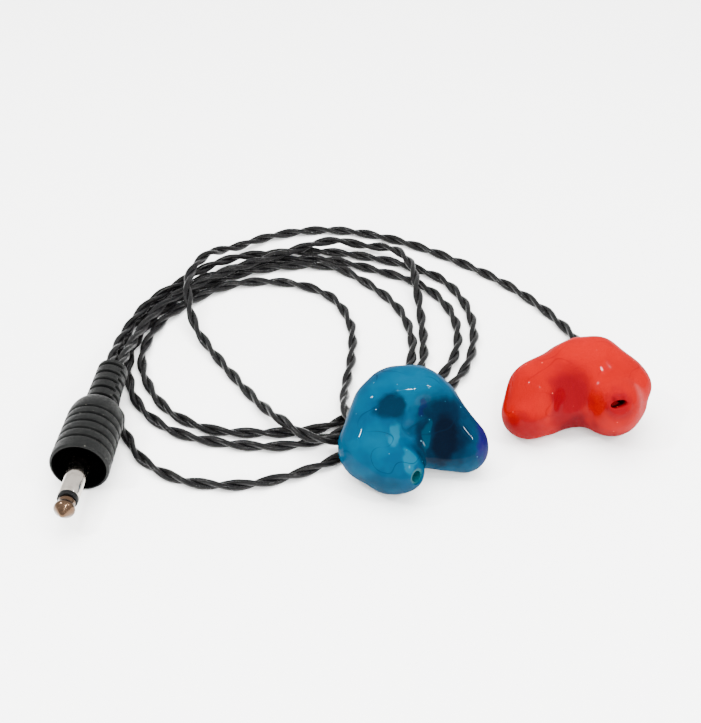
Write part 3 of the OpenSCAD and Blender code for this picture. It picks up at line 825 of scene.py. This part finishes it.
def lathe(name, profile, material, sides=128):
    """A closed outline of (radius, station) points turned round the plug's axis."""
    outline = np.array(profile, float)
    count = len(outline)
    angles = 2 * math.pi * np.arange(sides) / sides
    points = [
        (r * math.cos(a), r * math.sin(a), z) for a in angles for r, z in outline
    ]
    faces = [
        (
            i * count + k,
            i * count + (k + 1) % count,
            (i + 1) % sides * count + (k + 1) % count,
            (i + 1) % sides * count + k,
        )
        for i in range(sides) for k in range(count)
    ]
    piece = add_mesh(name, on_plug(points), faces)
    weld(piece.data)
    finish_piece(piece, material)
    return piece


def grip_radius(z):
    """The grip's outer radius at a station, with a rounded rim, grooves and a domed shoulder."""
    body = GRIP_R - TAPER * max(0.0, -z - TAPER_FROM)
    if z > -RIM_ROUND:
        body -= RIM_ROUND * (1.0 - math.sqrt(1.0 - (z / RIM_ROUND + 1.0) ** 2))
    if z < SHOULDER:
        t = (SHOULDER - z) / (GRIP_LEN + SHOULDER)
        neck = RELIEF_R + SHOULDER_STEP
        body = neck + (body - neck) * math.sqrt(max(0.0, 1.0 - t * t))
    for groove in GROOVES:
        off = abs(z - groove)
        body -= GROOVE_DEPTH * (1.0 - smoothstep(0.25 * GROOVE_W, 0.8 * GROOVE_W, off))
        body -= RIB_SWELL * max(0.0, 1.0 - off) ** 2
    return body


def grip_profile():
    """The grip's closed outline: outer face, hollow rear, hole for the jack, then the cup."""
    outer = [(grip_radius(z), z) for z in np.linspace(0.0, -GRIP_LEN, GRIP_STATIONS)]
    rear = [(RELIEF_R + FIT, -GRIP_LEN), (RELIEF_R + FIT, -HOLE_DEPTH)]
    hole = [(JACK_R + FIT, -HOLE_DEPTH), (JACK_R + FIT, -CUP_DEPTH)]
    flat = [(CUP_R - CUP_CORNER, -CUP_DEPTH)]
    corner = [
        (
            CUP_R - CUP_CORNER + CUP_CORNER * math.sin(a),
            -CUP_DEPTH + CUP_CORNER - CUP_CORNER * math.cos(a),
        )
        for a in np.linspace(0.2, math.pi / 2, 6)
    ]
    lip = [
        (CUP_R + CUP_LIP - CUP_LIP * math.cos(a), -CUP_LIP + CUP_LIP * math.sin(a))
        for a in np.linspace(0.0, math.pi / 2, 6)
    ]
    return outer + rear + hole + flat + corner + lip


SLOT_ROWS = 9
SLOT_PITCH = 1.12
SLOT_HALF = 0.34
SLOT_DEPTH = 1.0
SLOT_FIRST = 1.45
LONG_ARC = math.radians(50.0)
SHORT_ARC = math.radians(36.0)
RELIEF_TAPER = 0.15
RELIEF_END_ROUND = 0.45
RELIEF_END_LEN = 0.5
# The strain relief starts out of sight inside the grip.
RELIEF_START = -9.7
RELIEF_SIDES = 240
RELIEF_ROWS = 330


def relief_radius(z, angle):
    """The strain relief's radius: slots in staggered rows, each row a pair of arcs."""
    radius = RELIEF_R - RELIEF_TAPER * smoothstep(-GRIP_LEN, -PLUG_LEN, z)
    end_round = smoothstep(-PLUG_LEN + RELIEF_END_LEN, -PLUG_LEN, z)
    radius = radius - RELIEF_END_ROUND * end_round * end_round
    for row in range(SLOT_ROWS):
        station = -PLUG_LEN + SLOT_FIRST + row * SLOT_PITCH
        middle, half_arc = (math.pi / 2, LONG_ARC) if row % 2 == 0 else (0.0, SHORT_ARC)
        turn = np.abs((angle - middle + math.pi / 2) % math.pi - math.pi / 2)
        past = np.maximum(turn - half_arc, 0.0) * RELIEF_R
        off = np.hypot(past, np.abs(z - station))
        radius = radius - SLOT_DEPTH * (1.0 - smoothstep(SLOT_HALF * 0.75, SLOT_HALF * 1.15, off))
    return radius


def make_relief(material):
    """The slotted sleeve, as a fine grid of points round and along the axis."""
    angles = 2 * math.pi * np.arange(RELIEF_SIDES) / RELIEF_SIDES
    points = []
    for z in np.linspace(-PLUG_LEN, RELIEF_START, RELIEF_ROWS):
        radius = relief_radius(z, angles)
        ring = [radius * np.cos(angles), radius * np.sin(angles), np.full(RELIEF_SIDES, z)]
        points.append(np.stack(ring, 1))
    faces = tube_faces(RELIEF_ROWS, RELIEF_SIDES, 0)
    piece = add_mesh("plug_slotted_relief", on_plug(np.vstack(points)), faces)
    weld(piece.data)
    finish_piece(piece, material)
    return piece


RUBBER = rubber_material(tuple(on_plug((0.0, 0.0, -1.0))), RECESS_REACH)
NICKEL = metal_material("nickel", (0.46, 0.42, 0.37), (0.20, 0.18, 0.16), 0.08)
COPPER_TINT = metal_material("tip_copper", (0.095, 0.058, 0.036), (0.035, 0.020, 0.012), 0.16)
BLACK = plain_material("insulator_black", (0.002, 0.002, 0.002), 0.4, shine=0.12)

# Closed outlines of (radius, station) points.
SLEEVE_OUTLINE = [
    (1.1, -8.0), (JACK_R, -8.0), (JACK_R, SLEEVE_TOP - 0.08), (JACK_R - 0.08, SLEEVE_TOP),
    (1.1, SLEEVE_TOP),
]
RING_OUTLINE = [
    (0.6, SLEEVE_TOP), (JACK_R - 0.05, SLEEVE_TOP), (JACK_R - 0.02, SLEEVE_TOP + 0.1),
    (JACK_R - 0.02, RING_TOP - 0.1), (JACK_R - 0.1, RING_TOP), (0.6, RING_TOP),
]
TIP_OUTLINE = [
    (0.0, -9.0), (0.6, -9.0), (0.6, RING_TOP), (1.42, RING_TOP), (1.42, 8.45), (1.3, 8.7),
    (1.3, 8.85), (1.45, 9.1), (1.68, 9.45), (JACK_R, 9.75), (1.72, 10.0), (1.55, 10.3),
    (0.42, 11.35), (0.28, 11.46), (0.0, TIP_END),
]

grip = lathe("plug_moulded_grip", grip_profile(), RUBBER, GRIP_SIDES)
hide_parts("plug_grip")
relief = make_relief(RUBBER)
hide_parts("plug_strain_relief")
sleeve = lathe("plug_contact_sleeve", SLEEVE_OUTLINE, NICKEL)
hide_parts("plug_sleeve")
ring = lathe("plug_insulating_ring", RING_OUTLINE, BLACK)
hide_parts("plug_insulator")
tip = lathe("plug_polished_tip", TIP_OUTLINE, COPPER_TINT)
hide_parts("plug_tip")


# ---- carried-over pieces ----------------------------------------------------

INNER_FINISH = {
    "left_sound_tube": plain_material("clear_tube_blue", (0.0, 0.040, 0.052), 0.3, shine=0.06),
    # Painted shade: the red earpiece's sound tube is near black, so that its hole reads dark.
    "right_sound_tube": plain_material("red_tube_painted_shade", (0.002, 0.0002, 0.0002), 0.5, shine=0.03),
    # Painted shade: the dampers are near black, so that the sound holes read dark.
    "damper": plain_material("damper_mesh", (0.003, 0.004, 0.004), 0.8, grain=20.0, shine=0.1),
    "receiver_case": plain_material("receiver_steel", (0.62, 0.62, 0.62), 0.25, 1.0),
    "terminal_board": plain_material("circuit_board", (0.03, 0.22, 0.08), 0.45),
    "coil": plain_material("copper_winding", (0.72, 0.33, 0.15), 0.35, 1.0, 12.0),
    "magnet_yoke": plain_material("magnet", (0.22, 0.22, 0.24), 0.5, 0.8),
    "diaphragm": plain_material("diaphragm_foil", (0.80, 0.72, 0.50), 0.3, 0.9),
    "ear_wires": plain_material("lead_red", (0.30, 0.02, 0.02), 0.4),
    "plug_core": plain_material("core_grey", (0.004, 0.004, 0.004), 0.5),
    "plug_solder": plain_material("solder", (0.72, 0.72, 0.72), 0.22, 1.0),
    "left_cord_grommet": plain_material("blue_grommet", (0.0, 0.012, 0.022), 0.4, shine=0.15),
    "right_cord_grommet": plain_material("red_grommet", (0.060, 0.001, 0.001), 0.4, shine=0.15),
}
SAME_FINISH = {
    "receiver_spout": "receiver_case",
    "armature": "receiver_case",
    "plug_wires": "ear_wires",
}


def finish_of(node):
    """The finish listed for a node, for its kind on either side, or else the plain metal."""
    for key in (node, node.split("_", 1)[1]):
        key = SAME_FINISH.get(key, key)
        if key in INNER_FINISH:
            return INNER_FINISH[key]
    return BLACK if node == "plug_rear_bush" else NICKEL


for node, obj in frame["nodes"].items():
    if not obj.hide_render:
        obj.data.materials.clear()
        obj.data.materials.append(finish_of(node))


# ---- studio -----------------------------------------------------------------

# In metres, from the middle of the table to its edges.
TABLE_REACH = 1.5


def make_floor():
    """A pale table, square and wide enough to fill every view."""
    mesh = bpy.data.meshes.new("table")
    corners = [(x * TABLE_REACH, y * TABLE_REACH, 0.0) for x, y in ((-1, -1), (1, -1), (1, 1), (-1, 1))]
    mesh.from_pydata(corners, [], [(0, 1, 2, 3)])
    table = bpy.data.objects.new("table", mesh)
    bpy.context.scene.collection.objects.link(table)
    s = Shader("table_white")
    s.set(Base_Color=(0.90, 0.90, 0.89), Roughness=0.5, Specular_IOR_Level=0.25)
    mesh.materials.append(s.material)


def area_light(name, at_mm, look_mm, size_mm, power, mirrored):
    """A soft rectangular light; one that isn't mirrored never shows as a reflection."""
    data = bpy.data.lights.new(name, "AREA")
    data.shape = "RECTANGLE"
    data.size, data.size_y = size_mm[0] * MM, size_mm[1] * MM
    data.energy = power
    light = bpy.data.objects.new(name, data)
    at, look = Vector(at_mm) * MM, Vector(look_mm) * MM
    light.location = at
    light.rotation_euler = (look - at).to_track_quat("-Z", "Y").to_euler()
    light.visible_glossy = mirrored
    bpy.context.scene.collection.objects.link(light)


def make_world(strength):
    """Even white light from all round."""
    world = bpy.data.worlds.new("studio")
    world.use_nodes = True
    background = world.node_tree.nodes["Background"]
    background.inputs["Color"].default_value = (1.0, 1.0, 1.0, 1.0)
    background.inputs["Strength"].default_value = strength
    bpy.context.scene.world = world


make_floor()
make_world(2.0)
area_light("top_softbox", (-40, 80, 520), (-20, 20, 0), (620, 620), 14.5, False)
area_light("front_fill", (100, -520, 330), (-10, 0, 0), (420, 260), 6.0, False)
area_light("window_left", (-260, -60, 330), (-10, 0, 0), (12, 30), 1.3, True)
area_light("window_front", (60, -300, 360), (0, 0, 0), (18, 18), 1.0, True)
area_light("window_right", (230, -120, 300), (0, 0, 0), (5, 60), 1.1, True)
